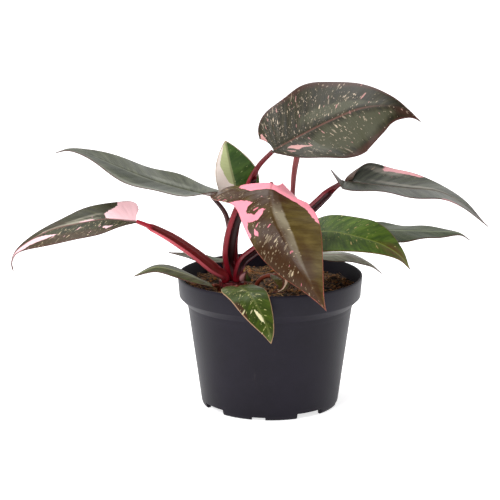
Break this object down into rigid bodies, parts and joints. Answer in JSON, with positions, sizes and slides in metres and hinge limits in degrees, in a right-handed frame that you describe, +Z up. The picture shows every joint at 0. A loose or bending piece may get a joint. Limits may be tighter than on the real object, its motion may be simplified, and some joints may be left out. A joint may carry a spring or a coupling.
{
  "type": "potted philodendron with pink variegated leaves",
  "caption": "Young variegated philodendron in a round nursery pot: heart-shaped olive, bronze and pink leaves on red stalks that stand in brown soil.",
  "frame": {"origin": "centre of the pot's foot pad, on the surface it stands on", "axes": "+Z up along the pot's axis; the pictured side faces -Y, with +X to the right"},
  "size_m": [0.3056, 0.1338, 0.21],
  "materials": {
    "pot": "matte charcoal",
    "soil": "rough, fibrous",
    "stem": "satin",
    "stalk": "satin, waxy",
    "olive_leaf": "satin, waxy, flecked with cream and pink",
    "bronze_leaf": "glossy, with pink sectors",
    "green_leaf": "satin, flecked with cream",
    "pale_leaf": "satin"
  },
  "bodies": {
    "root": {"pot": "pot", "soil": "soil", "crown": "stem", "second_shoot": "stem", "rolled_leaf": "stalk", "top_blade": "olive_leaf", "top_stalk": "stalk", "right_blade": "olive_leaf", "right_stalk": "stalk", "front_blade": "bronze_leaf", "front_stalk": "stalk", "upper_left_blade": "olive_leaf", "upper_left_stalk": "stalk", "lower_left_blade": "olive_leaf", "lower_left_stalk": "stalk", "upright_blade": "green_leaf", "upright_stalk": "stalk", "right_mid_blade": "green_leaf", "right_mid_stalk": "stalk", "right_back_blade": "olive_leaf", "right_back_stalk": "stalk", "right_low_blade": "olive_leaf", "right_low_stalk": "stalk", "rim_left_blade": "green_leaf", "rim_left_stalk": "stalk", "back_left_blade": "green_leaf", "back_left_stalk": "stalk", "rim_front_blade": "green_leaf", "rim_front_stalk": "stalk", "young_front_blade": "green_leaf", "young_front_stalk": "stalk", "tiny_blade": "pale_leaf", "tiny_stalk": "stalk"}
  },
  "joints": []
}
